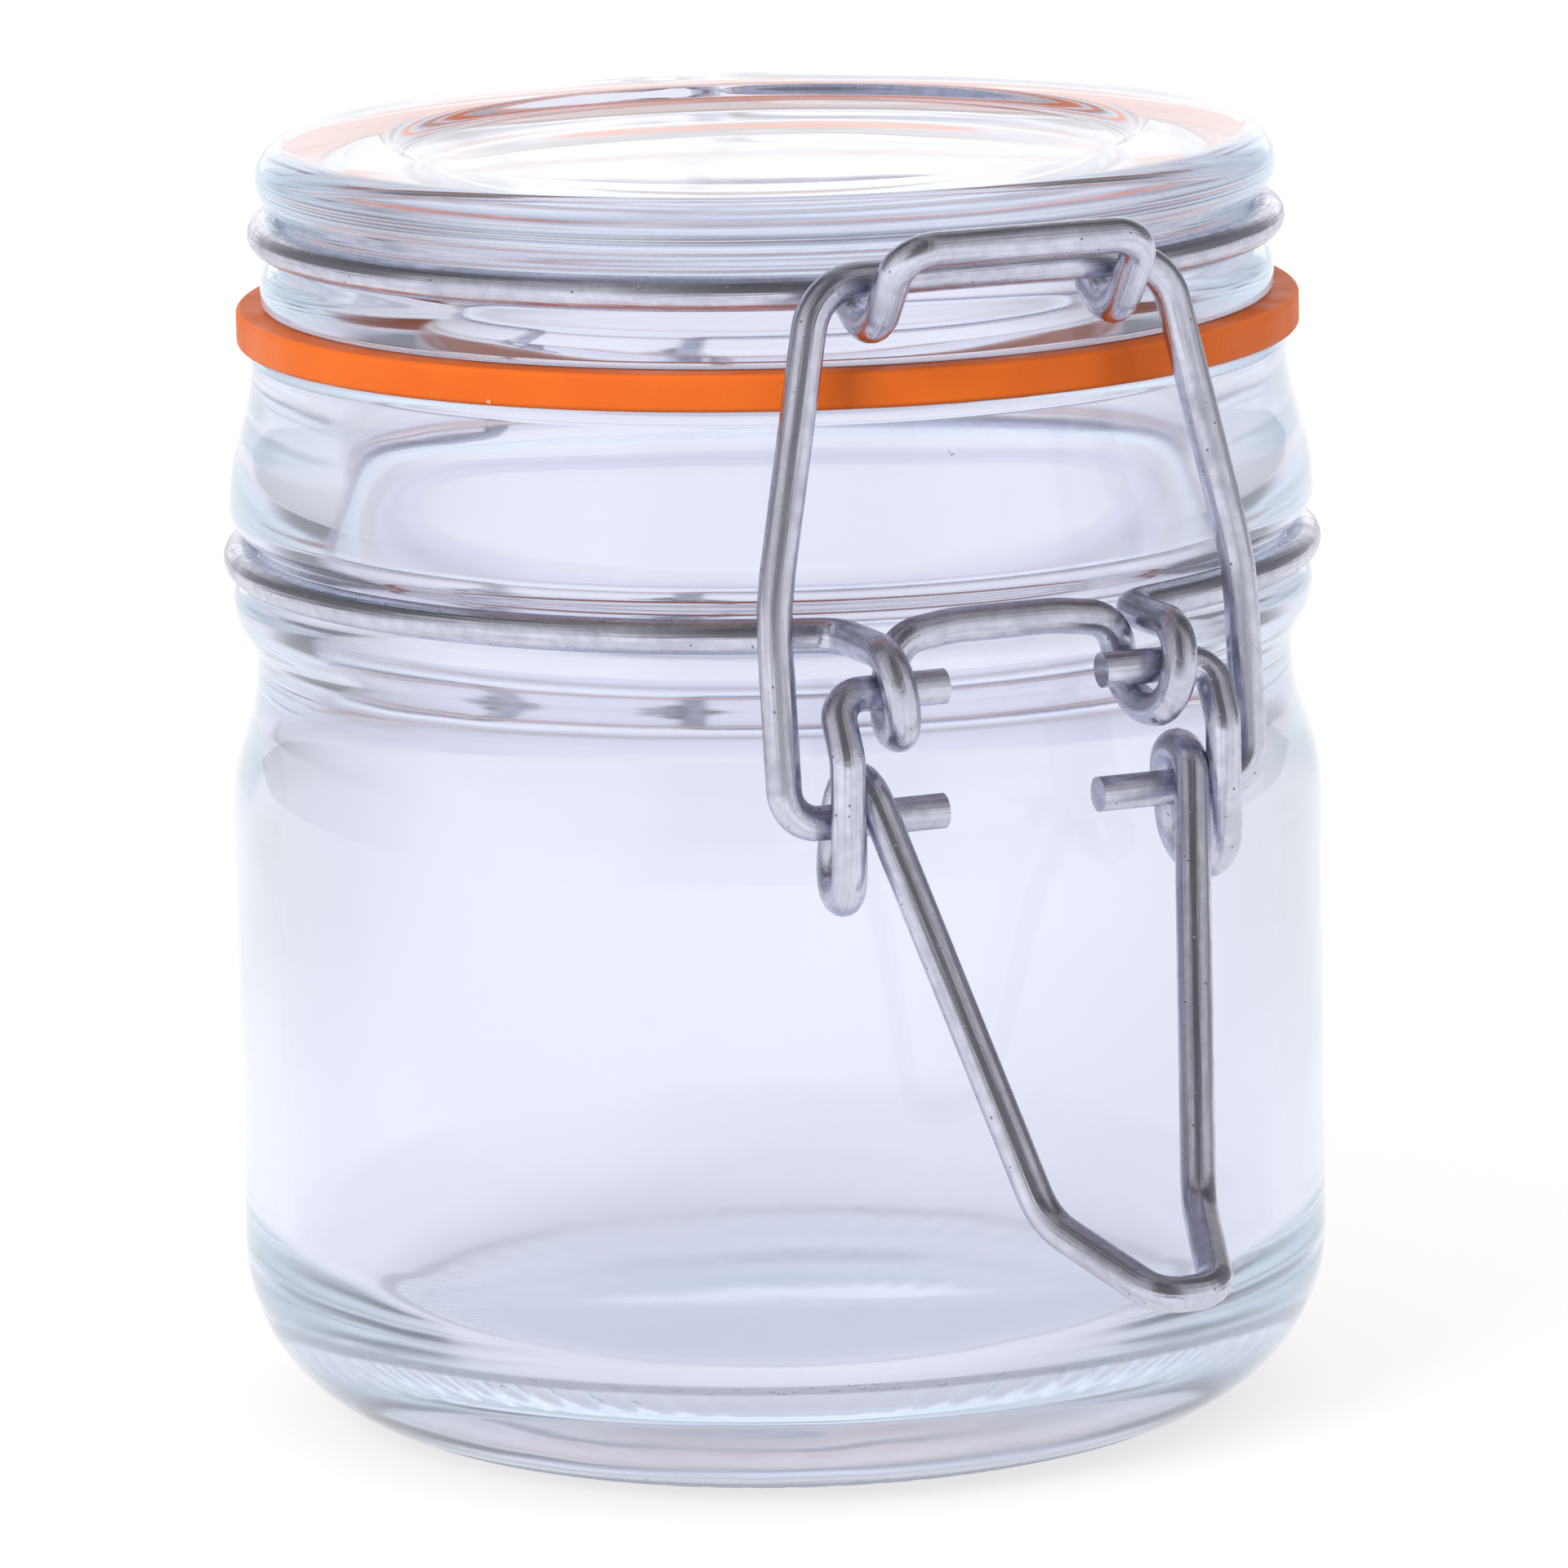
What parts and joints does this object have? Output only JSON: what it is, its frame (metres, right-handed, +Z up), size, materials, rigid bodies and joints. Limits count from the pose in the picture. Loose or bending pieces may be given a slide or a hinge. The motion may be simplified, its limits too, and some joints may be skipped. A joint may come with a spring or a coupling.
{
  "type": "clip-top storage jar",
  "caption": "Small clear glass jar with a hinged glass lid, an orange rubber seal and a bent-wire lever clasp at the front.",
  "frame": {"origin": "middle of the jar's underside, on the surface that it stands on and on the jar's axis", "axes": "+Z up along the jar's axis, -Y towards the clasp, +Y towards the lid's hinge, +X to the right seen from the clasp"},
  "size_m": [0.0802, 0.1183, 0.094],
  "materials": {
    "clear_glass": "clear moulded soda-lime glass, glossy",
    "orange_rubber": "soft satin natural rubber",
    "steel_wire": "bright drawn galvanised wire with lengthwise streaks"
  },
  "bodies": {
    "jar": {"glass_jar": "clear_glass", "neck_wire": "steel_wire"},
    "lid": {"glass_lid": "clear_glass", "rubber_seal": "orange_rubber", "lid_wire": "steel_wire"},
    "lever": {"lever_wire": "steel_wire"},
    "bail": {"bail_wire": "steel_wire"}
  },
  "joints": [
    {"name": "lever_swing", "type": "hinge", "parent": "jar", "child": "lever", "pos_m": [0, -0.044, 0.0608], "axis": [-1, 0, 0], "range_deg": [0, 120]},
    {"name": "bail_swing", "type": "hinge", "parent": "lever", "child": "bail", "pos_m": [0, -0.0434, 0.0519], "axis": [-1, 0, 0], "range_deg": [-97, 0]},
    {"name": "lid_hinge", "type": "hinge", "parent": "jar", "child": "lid", "pos_m": [0, 0.0432, 0.0756], "axis": [-1, 0, 0], "range_deg": [0, 105]}
  ],
  "couplings": [
    {"joint": "bail_swing", "follows": "lever_swing", "ratio": -0.8}
  ]
}
